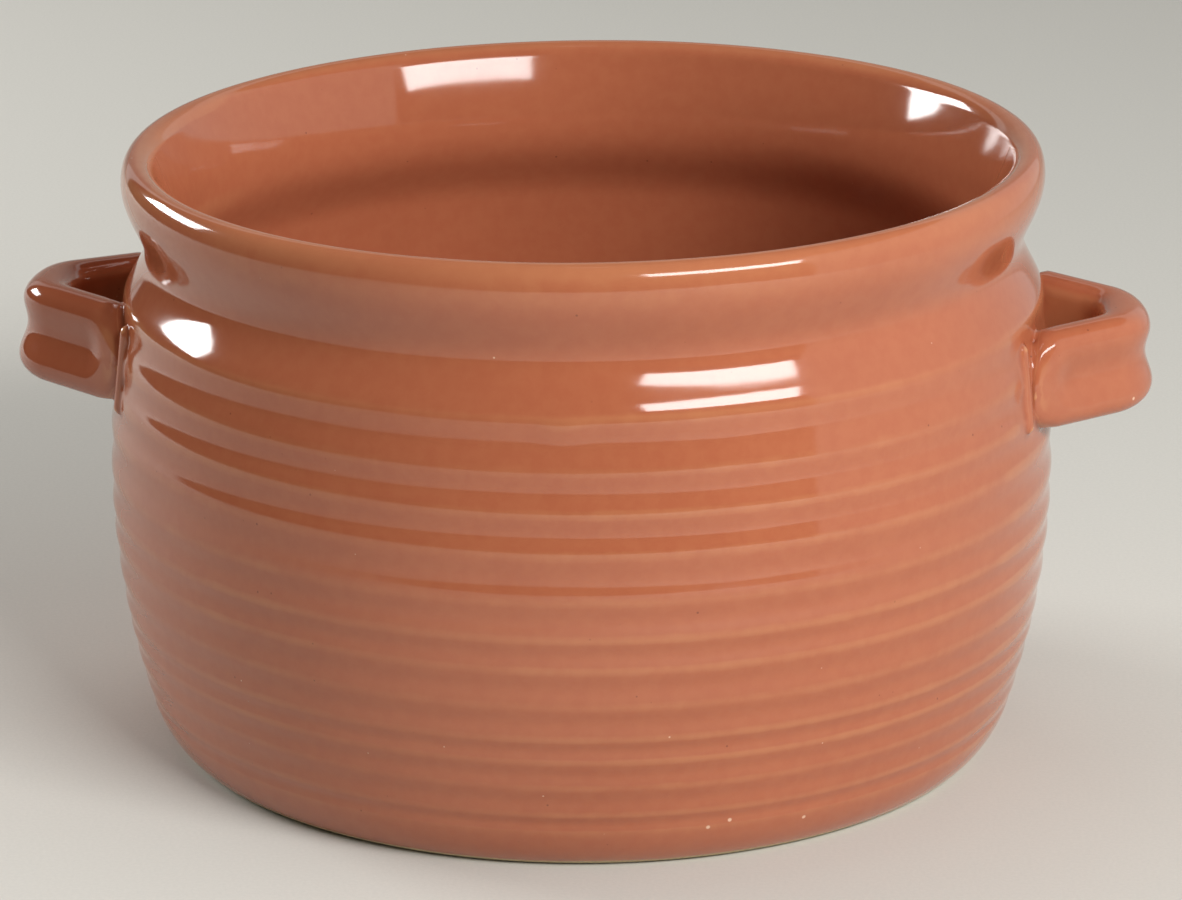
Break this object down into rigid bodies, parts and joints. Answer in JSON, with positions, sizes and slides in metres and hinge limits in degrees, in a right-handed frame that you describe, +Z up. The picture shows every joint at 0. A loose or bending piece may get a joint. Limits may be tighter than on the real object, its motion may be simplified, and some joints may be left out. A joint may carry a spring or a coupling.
{
  "type": "terracotta casserole",
  "caption": "Round glazed terracotta casserole with a rolled rim, a narrow neck, a finger-ridged wall and a grooved strap handle on each side.",
  "frame": {"origin": "middle of the flat foot, on the surface that the pot stands on", "axes": "+Z up, +X through the middle of one handle, +Y across the pot between the handles"},
  "size_m": [0.313, 0.26, 0.166],
  "materials": {
    "glaze": "gloss"
  },
  "bodies": {
    "root": {"casserole": "glaze"}
  },
  "joints": []
}
